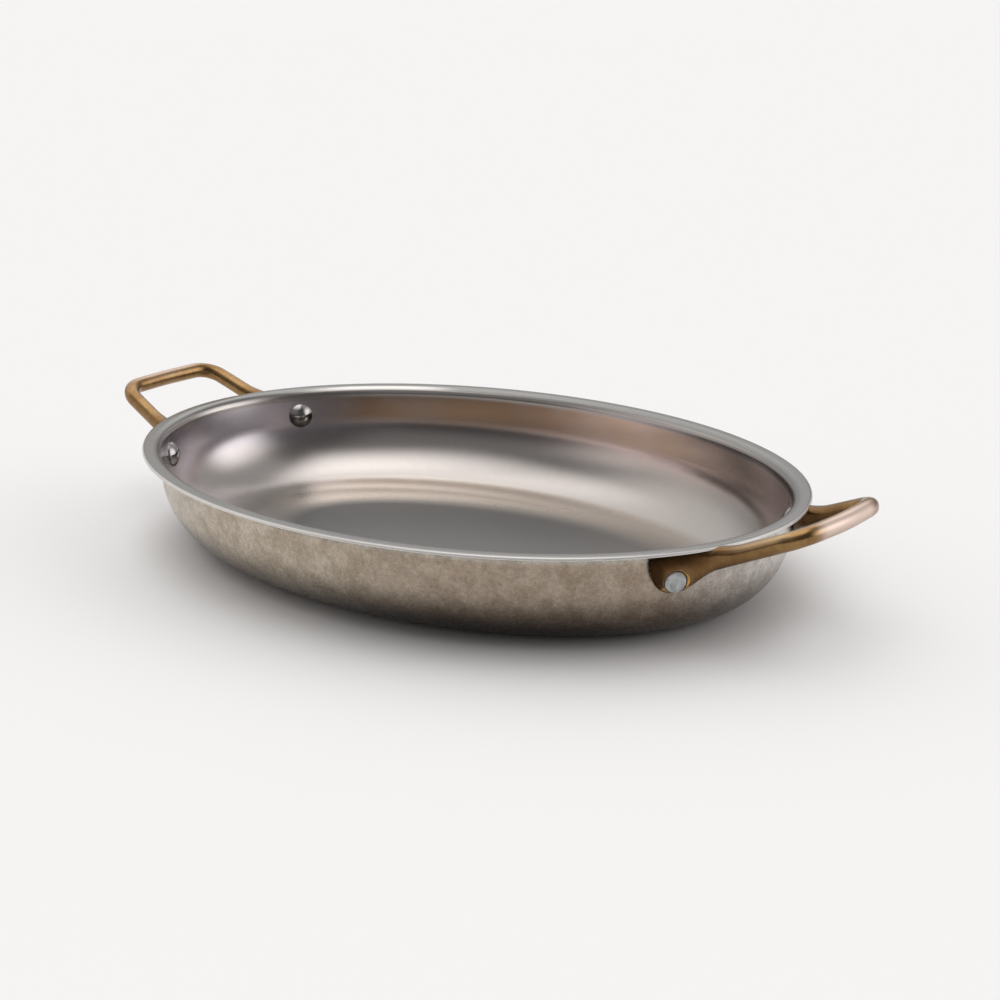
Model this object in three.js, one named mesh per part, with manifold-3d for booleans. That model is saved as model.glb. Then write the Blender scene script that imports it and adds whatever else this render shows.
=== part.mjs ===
// Oval serving dish: one pressed steel shell, two cast loop handles and four rivets.
// Millimetres, +Z up, +X along the dish; the origin is under the middle of the base.

import * as THREE from 'three';
import { mergeVertices } from 'three/addons/utils/BufferGeometryUtils.js';
import Module from 'manifold-3d';

// Shell: rim oval, height, sheet, and the profile from flange to base
const RIM_LENGTH = 240;
const RIM_WIDTH = 165;
const DISH_HEIGHT = 32.5;
const SHEET = 1;
const FLANGE_FLAT = 3;
const BEND_RADIUS = 2;
const WALL_LEAN = THREE.MathUtils.degToRad(6);
const CORNER_RADIUS = 23.5;

// Rivets: spread is between a handle's two rivets at the rim line, depth is below the rim
const RIVET_SPREAD = 68.2;
const RIVET_DEPTH = 9.3;
const SHANK_RADIUS = 3.2;
const HEAD_LIP = 1;
const HEAD_HEIGHT = 2.4;
const HEAD_EDGE = 0.4;
const TAIL_RECESS = 0.5;
const TAIL_CHAMFER = 0.3;

// Handle loop: reach and rise are from the rim to the bar's centre line
const HANDLE_REACH = 19.5;
const HANDLE_RISE = 5.9;
const BAR_HALF = 19.4;
const BAR_BOW = 1.3;
const BOW_RADIUS = 80;
const GRIP_RADIUS = 8;
const GRIP_HALF_WIDTH = 2.6;
const GRIP_HALF_HEIGHT = 2.6;

// Handle lugs: margins are the metal left round the countersunk hole, blends are the runs
// in which the lower and upper edges narrow to the grip
const LUG_THICKNESS = 4.2;
const LUG_RISE = 1.5;
const LUG_LOWER_MARGIN = 0.4;
const LUG_END_MARGIN = 2.2;
const LUG_AHEAD = 0.8;
const LUG_LOWER_BLEND = 11;
const LUG_UPPER_BLEND = 22;
const LUG_BEND_DISTANCE = 10.5;
const LUG_BEND_RADIUS = 9;
const LUG_BEND_RISE = 2.6;
const COUNTERSINK = 0.8;
// Section shape: 2 is an ellipse, higher is squarer.
const LUG_POWER = 4;
const GRIP_POWER = 2.4;

// Fit between neighbouring pieces
const GAP = 0.3;

// Mesh fineness
const AROUND = 88;
const CORNER_STEPS = 8;
const BEND_STEPS = 5;
const NOSE_STEPS = 4;
const PATH_STEP = 1.8;
const SECTION_STEPS = 18;
const DOME_STEPS = 7;
const RIVET_AROUND = 24;
const LUG_TIP = 0.05;
const WELD = 1e-4;

const QUARTER = Math.PI / 2;

const wasm = await Module();
wasm.setup();

const STEEL = new THREE.MeshStandardMaterial({ color: 0x9c968c, roughness: 0.34, metalness: 1 });
const BRONZE = new THREE.MeshStandardMaterial({ color: 0x8f6d45, roughness: 0.32, metalness: 1 });
const RIVET_STEEL = new THREE.MeshStandardMaterial({ color: 0xa4a4a2, roughness: 0.24, metalness: 1 });

/** Turns a closed three.js geometry into a solid for joining and cutting. */
function solidFrom(geometry) {
  const bare = geometry.clone();
  bare.deleteAttribute('normal');
  bare.deleteAttribute('uv');
  const welded = mergeVertices(bare, WELD);
  const vertProperties = new Float32Array(welded.getAttribute('position').array);
  const triVerts = new Uint32Array(welded.getIndex().array);
  return new wasm.Manifold(new wasm.Mesh({ numProp: 3, vertProperties, triVerts }));
}

/** Turns a solid back into a three.js geometry. */
function geometryFrom(solid) {
  const mesh = solid.getMesh();
  const geometry = new THREE.BufferGeometry();
  geometry.setAttribute('position', new THREE.BufferAttribute(mesh.vertProperties, mesh.numProp));
  geometry.setIndex(new THREE.BufferAttribute(mesh.triVerts, 1));
  geometry.computeVertexNormals();
  return geometry;
}

/** The mean of a ring's points. */
function middleOf(ring) {
  const sum = ring.reduce((total, point) => total.add(point), new THREE.Vector3());
  return sum.divideScalar(ring.length);
}

/** A closed solid through rings of equally many points, with a fan closing each end. */
function skin(rings) {
  const count = rings[0].length;
  const lastRing = (rings.length - 1) * count;
  const startMiddle = rings.length * count;
  const endMiddle = startMiddle + 1;
  const points = [...rings.flat(), middleOf(rings[0]), middleOf(rings[rings.length - 1])];
  const indices = [];
  for (let i = 0; i < count; i += 1) {
    const next = (i + 1) % count;
    indices.push(startMiddle, next, i);
    indices.push(endMiddle, lastRing + i, lastRing + next);
    for (let ring = 0; ring < lastRing; ring += count) {
      indices.push(ring + i, ring + next, ring + count + next);
      indices.push(ring + i, ring + count + next, ring + count + i);
    }
  }
  return solidFrom(new THREE.BufferGeometry().setFromPoints(points).setIndex(indices));
}

/** Points on a circular arc from one angle to another, both ends included. */
function arc(centre, radius, from, to, steps) {
  const points = [];
  for (let i = 0; i <= steps; i += 1) {
    const angle = from + ((to - from) * i) / steps;
    const spoke = new THREE.Vector2(Math.cos(angle), Math.sin(angle));
    points.push(spoke.multiplyScalar(radius).add(centre));
  }
  return points;
}

/** Outward direction of the rim oval at an oval angle. */
function rimNormal(angle) {
  return new THREE.Vector2(Math.cos(angle) / RIM_LENGTH, Math.sin(angle) / RIM_WIDTH).normalize();
}

/** Point beside the rim oval: offset is measured outward along the oval's normal. */
function besideRim(angle, offset, height) {
  const normal = rimNormal(angle);
  return new THREE.Vector3(
    (RIM_LENGTH / 2) * Math.cos(angle) + normal.x * offset,
    (RIM_WIDTH / 2) * Math.sin(angle) + normal.y * offset,
    height,
  );
}

/** A solid whose outline, given as (offset from the rim, height), is swept round the oval. */
function sweepRound(outline) {
  const angles = Array.from({ length: AROUND }, (_, i) => (2 * Math.PI * i) / AROUND);
  return skin(outline.map((point) => angles.map((angle) => besideRim(angle, point.x, point.y))));
}

// The outer face of the sheet, as (offset from the rim, height): flange bend, wall, base corner
const bendCentre = new THREE.Vector2(-FLANGE_FLAT, DISH_HEIGHT - SHEET - BEND_RADIUS);
const wallTop = new THREE.Vector2(
  bendCentre.x - BEND_RADIUS * Math.cos(WALL_LEAN),
  bendCentre.y + BEND_RADIUS * Math.sin(WALL_LEAN),
);
const wallFootHeight = CORNER_RADIUS * (1 - Math.sin(WALL_LEAN));
const wallFootOffset = wallTop.x - (wallTop.y - wallFootHeight) * Math.tan(WALL_LEAN);
const cornerCentre = new THREE.Vector2(
  wallFootOffset - CORNER_RADIUS * Math.cos(WALL_LEAN),
  CORNER_RADIUS,
);

/** Lean of the wall at a height: the same all over its straight part, more in the base corner. */
function wallLean(height) {
  const cornerSine = THREE.MathUtils.clamp(1 - height / CORNER_RADIUS, 0, 1);
  return Math.max(WALL_LEAN, Math.asin(cornerSine));
}

/** Offset of the outer wall face at a height. */
function outerWallOffset(height) {
  if (height < wallFootHeight) {
    return cornerCentre.x + CORNER_RADIUS * Math.cos(wallLean(height));
  }
  return wallTop.x - (wallTop.y - height) * Math.tan(WALL_LEAN);
}

/** The pressed sheet from the base outward, round the flange edge and back in over the floor. */
function shellSolid() {
  const nose = SHEET / 2;
  const noseCentre = new THREE.Vector2(-nose, DISH_HEIGHT - nose);
  return sweepRound([
    ...arc(cornerCentre, CORNER_RADIUS, -QUARTER, -WALL_LEAN, CORNER_STEPS),
    ...arc(bendCentre, BEND_RADIUS, Math.PI - WALL_LEAN, QUARTER, BEND_STEPS),
    ...arc(noseCentre, nose, -QUARTER, QUARTER, NOSE_STEPS),
    ...arc(bendCentre, BEND_RADIUS + SHEET, QUARTER, Math.PI - WALL_LEAN, BEND_STEPS),
    ...arc(cornerCentre, CORNER_RADIUS - SHEET, -WALL_LEAN, -QUARTER, CORNER_STEPS),
  ]);
}

/** The filled dish grown by the gap, for cutting the lugs to fit its outside. */
function outsideFit() {
  return sweepRound([
    ...arc(cornerCentre, CORNER_RADIUS + GAP, -QUARTER, -WALL_LEAN, CORNER_STEPS),
    ...arc(bendCentre, BEND_RADIUS - GAP, Math.PI - WALL_LEAN, QUARTER, BEND_STEPS),
    new THREE.Vector2(GAP, DISH_HEIGHT - SHEET - GAP),
    new THREE.Vector2(GAP, DISH_HEIGHT + GAP),
  ]);
}

/** The hollow of the dish drawn in by the gap, for seating the rivet heads on the wall. */
function insideFit() {
  const drawnIn = SHEET + GAP;
  const brim = new THREE.Vector2(
    outerWallOffset(DISH_HEIGHT) - drawnIn / Math.cos(WALL_LEAN),
    DISH_HEIGHT,
  );
  return sweepRound([
    ...arc(cornerCentre, CORNER_RADIUS - drawnIn, -QUARTER, -WALL_LEAN, CORNER_STEPS),
    brim,
  ]);
}

const rivetAngle = Math.asin(RIVET_SPREAD / RIM_WIDTH);
const rivetHeight = DISH_HEIGHT - RIVET_DEPTH;
const holeRadius = SHANK_RADIUS + GAP;

/** Where a rivet's axis meets the outer wall face. */
function rivetPoint(angle) {
  return besideRim(angle, outerWallOffset(rivetHeight), rivetHeight);
}

/** A rivet's axis, square to the leaning wall and pointing outward. */
function rivetAxis(angle) {
  const normal = rimNormal(angle);
  const lean = wallLean(rivetHeight);
  return new THREE.Vector3(normal.x * Math.cos(lean), normal.y * Math.cos(lean), -Math.sin(lean));
}

/** A turned solid whose local +Y is carried onto a rivet's axis, zero at the outer wall face. */
function turnedAtRivet(profile, angle) {
  const turn = new THREE.Quaternion().setFromUnitVectors(new THREE.Vector3(0, 1, 0), rivetAxis(angle));
  const place = new THREE.Matrix4().compose(rivetPoint(angle), turn, new THREE.Vector3(1, 1, 1));
  const outline = profile.map(([radius, along]) => new THREE.Vector2(radius, along));
  return solidFrom(new THREE.LatheGeometry(outline, RIVET_AROUND).applyMatrix4(place));
}

/** Domed head seated on the curved wall inside, shank through wall and lug, flat tail end. */
function rivetSolid(angle) {
  const headRadius = SHANK_RADIUS + HEAD_LIP;
  const crown = HEAD_HEIGHT - HEAD_EDGE;
  const domeRadius = (headRadius ** 2 + crown ** 2) / (2 * crown);
  const seat = -SHEET - GAP;
  const top = seat - HEAD_HEIGHT;
  const sweep = Math.asin(headRadius / domeRadius);
  const dome = [];
  for (let i = 1; i <= DOME_STEPS; i += 1) {
    const turn = (sweep * i) / DOME_STEPS;
    dome.push([domeRadius * Math.sin(turn), top + domeRadius * (1 - Math.cos(turn))]);
  }
  const tail = LUG_THICKNESS - TAIL_RECESS;
  const head = turnedAtRivet([[0, top], ...dome, [headRadius, 0], [0, 0]], angle);
  const shank = turnedAtRivet([
    [0, seat - HEAD_EDGE],
    [SHANK_RADIUS, seat - HEAD_EDGE],
    [SHANK_RADIUS, tail - TAIL_CHAMFER],
    [SHANK_RADIUS - TAIL_CHAMFER, tail],
    [0, tail],
  ], angle);
  return head.intersect(insideFit()).add(shank);
}

/** The hole for a rivet through wall and lug, opening out at the lug's face. */
function rivetHole(angle) {
  const start = -SHEET - LUG_THICKNESS;
  const mouth = LUG_THICKNESS - COUNTERSINK;
  const past = 2 * COUNTERSINK;
  return turnedAtRivet([
    [0, start],
    [holeRadius, start],
    [holeRadius, mouth],
    [holeRadius + past, mouth + past],
    [0, mouth + past],
  ], angle);
}

const lugLowerReach = holeRadius + COUNTERSINK + LUG_LOWER_MARGIN;
const lugHalfHeight = lugLowerReach + LUG_RISE;
const lugOverhang = holeRadius + COUNTERSINK + LUG_END_MARGIN;

/** A path through corner points, each inner corner rounded to its own radius. */
function roundedPath(corners, radii) {
  const points = [corners[0].clone()];
  radii.forEach((radius, i) => {
    const corner = corners[i + 1];
    const back = corners[i].clone().sub(corner).normalize();
    const ahead = corners[i + 2].clone().sub(corner).normalize();
    const halfAngle = back.angleTo(ahead) / 2;
    const inward = back.clone().add(ahead).normalize();
    const centre = corner.clone().addScaledVector(inward, radius / Math.sin(halfAngle));
    const start = corner.clone().addScaledVector(back, radius / Math.tan(halfAngle)).sub(centre);
    const end = corner.clone().addScaledVector(ahead, radius / Math.tan(halfAngle)).sub(centre);
    const sweep = start.angleTo(end);
    const axis = start.clone().cross(end).normalize();
    const steps = Math.max(2, Math.ceil((radius * sweep) / PATH_STEP));
    for (let k = 0; k <= steps; k += 1) {
      points.push(start.clone().applyAxisAngle(axis, (sweep * k) / steps).add(centre));
    }
  });
  points.push(corners[corners.length - 1].clone());
  return points;
}

/** Splits long straight runs so that the section can change along them, closest at the lug's end. */
function evened(points) {
  const out = [points[0]];
  for (let i = 1; i < points.length; i += 1) {
    const isLug = i === 1;
    const step = isLug ? PATH_STEP : 2 * PATH_STEP;
    const pieces = Math.max(1, Math.round(points[i].distanceTo(points[i - 1]) / step));
    for (let k = 1; k <= pieces; k += 1) {
      const share = isLug ? (k / pieces) ** 2 : k / pieces;
      out.push(points[i - 1].clone().lerp(points[i], share));
    }
  }
  return out;
}

/** Half of the handle's centre line, from the end of a lug to the middle of the grip. */
function handleHalfPath() {
  const axis = rivetAxis(rivetAngle);
  const along = new THREE.Vector3(axis.y, -axis.x, 0).normalize();
  const lug = rivetPoint(rivetAngle).addScaledVector(axis, LUG_THICKNESS / 2);
  lug.z += LUG_RISE;
  const end = lug.clone().addScaledVector(along, -lugOverhang);
  const bend = lug.clone().addScaledVector(along, LUG_BEND_DISTANCE);
  bend.z += LUG_BEND_RISE;
  const reach = RIM_LENGTH / 2 + HANDLE_REACH;
  const barHeight = DISH_HEIGHT + HANDLE_RISE;
  const corner = new THREE.Vector3(reach, BAR_HALF, barHeight);
  const middle = new THREE.Vector3(reach + BAR_BOW, 0, barHeight);
  const mirrored = corner.clone().setY(-BAR_HALF);
  const corners = [end, bend, corner, middle, mirrored];
  const points = roundedPath(corners, [LUG_BEND_RADIUS, GRIP_RADIUS, BOW_RADIUS]);
  const half = points.filter((point) => point.y > PATH_STEP / 2);
  return evened([...half, middle.setX(half[half.length - 1].x)]);
}

/** The handle's section at a distance from a lug's end: flat lug, round below its tip, then the grip. */
function handleSection(fromEnd) {
  const lugLength = lugOverhang + LUG_AHEAD;
  const lowerGrip = THREE.MathUtils.smoothstep(fromEnd, lugLength, lugLength + LUG_LOWER_BLEND);
  const upperGrip = THREE.MathUtils.smoothstep(fromEnd, lugLength, lugLength + LUG_UPPER_BLEND);
  const cap = 1 - Math.min(1, Math.max(fromEnd, LUG_TIP) / lugOverhang);
  const squareCap = (1 - cap ** LUG_POWER) ** (1 / LUG_POWER);
  const roundCap = Math.sqrt(1 - cap ** 2);
  return {
    halfWidth: THREE.MathUtils.lerp(LUG_THICKNESS / 2, GRIP_HALF_WIDTH, lowerGrip) * squareCap,
    upperReach: THREE.MathUtils.lerp(lugHalfHeight, GRIP_HALF_HEIGHT, upperGrip) * squareCap,
    lowerReach: THREE.MathUtils.lerp(lugHalfHeight, GRIP_HALF_HEIGHT, lowerGrip) * roundCap,
    power: THREE.MathUtils.lerp(LUG_POWER, GRIP_POWER, lowerGrip),
  };
}

/** Points of a superellipse section round a place on the centre line, its halves of unlike height. */
function sectionRing(place, tangent, section) {
  const side = new THREE.Vector3(0, 0, 1).cross(tangent).normalize();
  const up = tangent.clone().cross(side);
  const squared = (value) => Math.sign(value) * Math.abs(value) ** (2 / section.power);
  const ring = [];
  for (let k = 0; k < SECTION_STEPS; k += 1) {
    const angle = (2 * Math.PI * k) / SECTION_STEPS;
    const across = section.halfWidth * squared(Math.cos(angle));
    const reach = angle < Math.PI ? section.upperReach : section.lowerReach;
    const above = reach * squared(Math.sin(angle));
    ring.push(place.clone().addScaledVector(side, across).addScaledVector(up, above));
  }
  return ring;
}

/** Cast loop: a flat lug at each end that swells out of the wall line into a rounded grip. */
function handleSolid() {
  const half = handleHalfPath();
  const path = [...half, ...half.slice(0, -1).reverse().map((point) => point.clone().setY(-point.y))];
  const lengths = [0];
  for (let i = 1; i < path.length; i += 1) {
    lengths.push(lengths[i - 1] + path[i].distanceTo(path[i - 1]));
  }
  const total = lengths[lengths.length - 1];
  const rings = path.map((place, i) => {
    const before = path[Math.max(0, i - 1)];
    const after = path[Math.min(path.length - 1, i + 1)];
    const tangent = after.clone().sub(before).normalize();
    return sectionRing(place, tangent, handleSection(Math.min(lengths[i], total - lengths[i])));
  });
  return skin(rings)
    .subtract(outsideFit())
    .subtract(rivetHole(rivetAngle))
    .subtract(rivetHole(-rivetAngle));
}

const rivetAngles = {
  rivet_right_back: rivetAngle,
  rivet_left_back: Math.PI - rivetAngle,
  rivet_left_front: Math.PI + rivetAngle,
  rivet_right_front: -rivetAngle,
};

const dish = new THREE.Group();
dish.name = 'oval_serving_dish';

/** Adds one named piece to the dish. */
function addPiece(name, geometry, material) {
  const mesh = new THREE.Mesh(geometry, material);
  mesh.name = name;
  dish.add(mesh);
  return mesh;
}

const pierced = Object.values(rivetAngles).reduce(
  (shell, angle) => shell.subtract(rivetHole(angle)),
  shellSolid(),
);
addPiece('dish_shell', geometryFrom(pierced), STEEL);

const handleGeometry = geometryFrom(handleSolid());
addPiece('handle_right', handleGeometry, BRONZE);
addPiece('handle_left', handleGeometry, BRONZE).rotation.z = Math.PI;

for (const [name, angle] of Object.entries(rivetAngles)) {
  addPiece(name, geometryFrom(rivetSolid(angle)), RIVET_STEEL);
}

export default dish;
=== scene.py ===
"""Looks of an oval serving dish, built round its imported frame.

The pressed steel shell, the cast loop handles and the rivets are modelled again with a finer surface
than the frame's solids, dressed in procedural metal finishes and shown in a plain studio.
Metres, +Z up, +X along the dish; the origin is under the middle of the base.
"""

from __future__ import annotations

import logging
import math
from collections.abc import Callable
from dataclasses import dataclass
from enum import Enum

import bpy
from mathutils import Matrix, Vector


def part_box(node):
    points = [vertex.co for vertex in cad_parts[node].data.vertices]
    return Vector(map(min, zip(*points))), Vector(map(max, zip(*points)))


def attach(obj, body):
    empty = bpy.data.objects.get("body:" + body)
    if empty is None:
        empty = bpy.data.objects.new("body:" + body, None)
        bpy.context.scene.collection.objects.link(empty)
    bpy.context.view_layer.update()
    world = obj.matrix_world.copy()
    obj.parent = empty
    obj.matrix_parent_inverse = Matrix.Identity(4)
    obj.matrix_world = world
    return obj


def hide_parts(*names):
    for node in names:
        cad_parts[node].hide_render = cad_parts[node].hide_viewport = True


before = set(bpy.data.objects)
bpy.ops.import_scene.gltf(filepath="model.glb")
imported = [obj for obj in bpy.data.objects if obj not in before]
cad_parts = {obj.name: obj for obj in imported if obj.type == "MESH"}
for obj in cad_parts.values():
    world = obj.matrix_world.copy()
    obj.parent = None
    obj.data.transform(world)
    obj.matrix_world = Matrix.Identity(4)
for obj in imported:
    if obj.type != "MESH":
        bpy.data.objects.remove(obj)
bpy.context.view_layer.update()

LOG = logging.getLogger("oval_serving_dish")
MM = 0.001
BODY = "root"
UP = Vector((0.0, 0.0, 1.0))
MERGE_DISTANCE = 0.002 * MM
SMOOTH_ANGLE = math.radians(35.0)

Piece = bpy.types.Object
Material = bpy.types.Material
Node = bpy.types.Node
Socket = bpy.types.NodeSocket
Range = tuple[float, float]
Triple = tuple[float, float, float]
Colour = Triple
Feed = float | Triple | Vector | Socket


class Slot(Enum):
    """Names of three material slots, which nothing in this script uses."""

    SHELL = "shell_steel"
    HANDLE = "handle_bronze"
    RIVET = "rivet_steel"


class End(Enum):
    """The two ends of the dish: the turn about +Z that carries the right-hand end there."""

    RIGHT = 0.0
    LEFT = math.pi


class Pick(Enum):
    """What edit mode picks by."""

    VERTEX = "VERT"
    FACE = "FACE"


class ShellFace(Enum):
    """The shell's finishes, by the number of their material slot."""

    INSIDE = 0
    FLANGE = 1
    OUTSIDE = 2


def mm(first: float, second: float) -> Range:
    """Turns a range in millimetres into metres."""
    return first * MM, second * MM


def deselect_all() -> None:
    """Leaves no object selected."""
    bpy.ops.object.select_all(action="DESELECT")


def select_only(piece: Piece) -> None:
    """Makes one object the only selected and the active one.

    Args:
        piece: The object.
    """
    deselect_all()
    piece.select_set(True)
    bpy.context.view_layer.objects.active = piece


def edit(piece: Piece, pick: Pick = Pick.VERTEX) -> None:
    """Opens one object in edit mode with all its geometry selected.

    Args:
        piece: The object.
        pick: What edit mode picks by.
    """
    select_only(piece)
    bpy.ops.object.mode_set(mode="EDIT")
    bpy.ops.mesh.select_mode(type=pick.value)
    bpy.ops.mesh.select_all(action="SELECT")


def close_edit() -> None:
    """Goes back to object mode."""
    bpy.ops.object.mode_set(mode="OBJECT")


def edit_picked(piece: Piece, pick: Pick, wanted: Callable[..., bool]) -> None:
    """Opens one object in edit mode with only what a test picks selected.

    Args:
        piece: The object.
        pick: Whether vertices or faces are picked.
        wanted: Says of a vertex or face whether it is picked.
    """
    edit(piece, pick)
    bpy.ops.mesh.select_all(action="DESELECT")
    close_edit()
    for part in piece.data.polygons if pick is Pick.FACE else piece.data.vertices:
        part.select = wanted(part)
    bpy.ops.object.mode_set(mode="EDIT")


def apply_modifier(piece: Piece, kind: str, **settings: object) -> None:
    """Adds a modifier with these settings and applies it at once.

    Args:
        piece: The object to change.
        kind: The modifier's type, such as "SOLIDIFY".
        settings: Values for the modifier's own properties.
    """
    select_only(piece)
    modifier = piece.modifiers.new(kind.lower(), kind)
    for name, value in settings.items():
        setattr(modifier, name, value)
    bpy.ops.object.modifier_apply(modifier=modifier.name)


def settle(piece: Piece, place: Matrix) -> None:
    """Carries a piece to its place and writes that place into its mesh.

    Args:
        piece: The object, modelled in its own frame.
        place: Where that frame lies in the dish's frame.
    """
    piece.matrix_world = place @ piece.matrix_world
    select_only(piece)
    bpy.ops.object.transform_apply(location=True, rotation=True, scale=True)


def face_outwards(piece: Piece) -> None:
    """Merges doubled points and turns every face outwards.

    Args:
        piece: The object, which has a closed surface.
    """
    edit(piece)
    bpy.ops.mesh.remove_doubles(threshold=MERGE_DISTANCE)
    bpy.ops.mesh.normals_make_consistent(inside=False)
    close_edit()


def smooth(piece: Piece) -> None:
    """Shades a piece smooth, apart from its sharp edges."""
    select_only(piece)
    bpy.ops.object.shade_smooth_by_angle(angle=SMOOTH_ANGLE)


def fill_slots(piece: Piece, *finishes: Material) -> None:
    """Gives a piece its material slots, in this order."""
    for finish in finishes:
        piece.data.materials.append(finish)


def put_in_slot(piece: Piece, index: int, wanted: Callable[[bpy.types.MeshPolygon], bool]) -> None:
    """Assigns one of a piece's materials to the faces that a test picks.

    Args:
        piece: The object, whose material slots are filled already.
        index: The material slot's number.
        wanted: Says of a face whether it takes that material.
    """
    edit_picked(piece, Pick.FACE, wanted)
    piece.active_material_index = index
    bpy.ops.object.material_slot_assign()
    close_edit()


def ride_as(piece: Piece, node: str) -> None:
    """Fixes a finished piece to the dish in place of the frame's own node.

    Args:
        piece: The finished piece.
        node: The node that it stands for.
    """
    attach(piece, BODY)
    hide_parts(node)


def arc(centre: Vector, radius: float, start: float, end: float, steps: int) -> list[Vector]:
    """Points on a circular arc from one angle to another, both ends included."""
    angles = [start + (end - start) * i / steps for i in range(steps + 1)]
    return [centre + radius * Vector((math.cos(a), math.sin(a))) for a in angles]


def between(first: float, second: float, share: float) -> float:
    """The value that lies a share of the way from one to another."""
    return first + (second - first) * share


def eased(value: float, start: float, end: float) -> float:
    """Goes smoothly from 0 at one value to 1 at another."""
    share = min(1.0, max(0.0, (value - start) / (end - start)))
    return share * share * (3.0 - 2.0 * share)


def cap_share(cap: float, power: float) -> float:
    """How wide a rounded tip still is, 2 being a round tip and more a squarer one."""
    return (1.0 - cap ** power) ** (1.0 / power)


@dataclass
class DishShell:
    """The pressed sheet: rolled edge, flange, leaning wall, rounded base corner and flat base."""

    length: float
    width: float
    height: float
    sheet: float = 1.0 * MM
    flange_flat: float = 3.0 * MM
    bend_radius: float = 2.0 * MM
    wall_lean: float = math.radians(6.0)
    corner_radius: float = 23.5 * MM
    edge_radius: float = 1.05 * MM
    edge_round: float = 0.1 * MM
    edge_angle: float = math.radians(60.0)
    edge_segments: int = 2
    support: float = 0.35 * MM
    around: int = 288
    edge_steps: int = 6
    bend_steps: int = 10
    corner_steps: int = 22

    @property
    def bend_centre(self) -> Vector:
        """Centre of the bend under the flange, as (inset from the rim, height)."""
        return Vector((self.flange_flat, self.height - self.sheet - self.bend_radius))

    @property
    def wall_top(self) -> Vector:
        """Top of the outer wall face, as (inset from the rim, height)."""
        facing = Vector((math.cos(self.wall_lean), math.sin(self.wall_lean)))
        return self.bend_centre + self.bend_radius * facing

    def wall_inset(self, height: float) -> float:
        """Inset of the outer wall face from the rim at a height on its straight part."""
        return self.wall_top.x + (self.wall_top.y - height) * math.tan(self.wall_lean)

    @property
    def corner_centre(self) -> Vector:
        """Centre of the base corner, as (inset from the rim, height)."""
        foot = self.corner_radius * (1.0 - math.sin(self.wall_lean))
        inset = self.wall_inset(foot) + self.corner_radius * math.cos(self.wall_lean)
        return Vector((inset, self.corner_radius))

    def upper_face(self) -> list[Vector]:
        """The profile of the sheet's upper face.

        Returns:
            Points from the rim inwards, as (inset from the rim, height).
        """
        nose = Vector((self.edge_radius, self.height - self.edge_radius))
        edge = arc(nose, self.edge_radius, math.pi, math.pi / 2, self.edge_steps)
        over_bend = self.bend_radius + self.sheet
        bend = arc(self.bend_centre, over_bend, math.pi / 2, self.wall_lean, self.bend_steps)
        in_corner = self.corner_radius - self.sheet
        level, straight_down = math.pi, 1.5 * math.pi
        corner = arc(self.corner_centre, in_corner, level + self.wall_lean, straight_down, self.corner_steps)
        middle = Vector((corner[-1].x + self.support, corner[-1].y))
        supports = (self.edge_radius + self.support, self.flange_flat - self.support)
        flange = [Vector((inset, self.height)) for inset in supports]
        return [*edge, *flange, *bend, *corner, middle]

    def rim_point(self, angle: float, inset: float, height: float) -> tuple[Vector, Vector]:
        """A point beside the rim oval and the oval's outward direction there.

        Args:
            angle: The oval angle, from +X towards +Y.
            inset: How far inside the rim the point lies.
            height: How high it lies.

        Returns:
            The point and the unit vector that points straight out of the oval.
        """
        outward = Vector((math.cos(angle) / self.length, math.sin(angle) / self.width, 0.0)).normalized()
        rim = Vector((self.length / 2 * math.cos(angle), self.width / 2 * math.sin(angle), height))
        return rim - inset * outward, outward

    def build(self) -> Piece:
        """Models the sheet's upper face by insetting a filled oval along its profile.

        Returns:
            The shell's object, which has no thickness yet.
        """
        deselect_all()
        bpy.ops.mesh.primitive_circle_add(vertices=self.around, radius=1.0, fill_type="NGON")
        piece = bpy.context.object
        piece.name = "shell"
        edit(piece)
        bpy.ops.transform.resize(value=(self.length / 2, self.width / 2, 1.0))
        profile = self.upper_face()
        bpy.ops.transform.translate(value=(0.0, 0.0, profile[0].y))
        for here, there in zip(profile, profile[1:]):
            step = there - here
            bpy.ops.mesh.inset(thickness=step.x, depth=step.y, use_even_offset=True, use_individual=True)
        close_edit()
        return piece

    def dress(self, piece: Piece, inside: Material, flange: Material, outside: Material) -> None:
        """Puts the three steel finishes on the shell's faces.

        Args:
            piece: The shell before it has its thickness.
            inside: Finish of the hollow.
            flange: Finish of the flat rim.
            outside: Finish of the outer face, which comes with the thickness.
        """
        fill_slots(piece, inside, flange, outside)
        edge = self.height - self.edge_radius
        put_in_slot(piece, ShellFace.FLANGE.value, lambda face: face.center.z > edge)

    def thicken(self, piece: Piece) -> None:
        """Gives the sheet its thickness below the modelled face and rounds the flange's edge.

        Args:
            piece: The shell, dressed.
        """
        apply_modifier(
            piece, "SOLIDIFY", thickness=self.sheet, offset=-1.0, use_even_offset=True,
            use_quality_normals=True, material_offset=ShellFace.OUTSIDE.value,
            material_offset_rim=ShellFace.INSIDE.value,
        )
        apply_modifier(
            piece, "BEVEL", width=self.edge_round, segments=self.edge_segments,
            limit_method="ANGLE", angle_limit=self.edge_angle,
        )
        select_only(piece)
        bpy.ops.object.shade_smooth()


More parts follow.
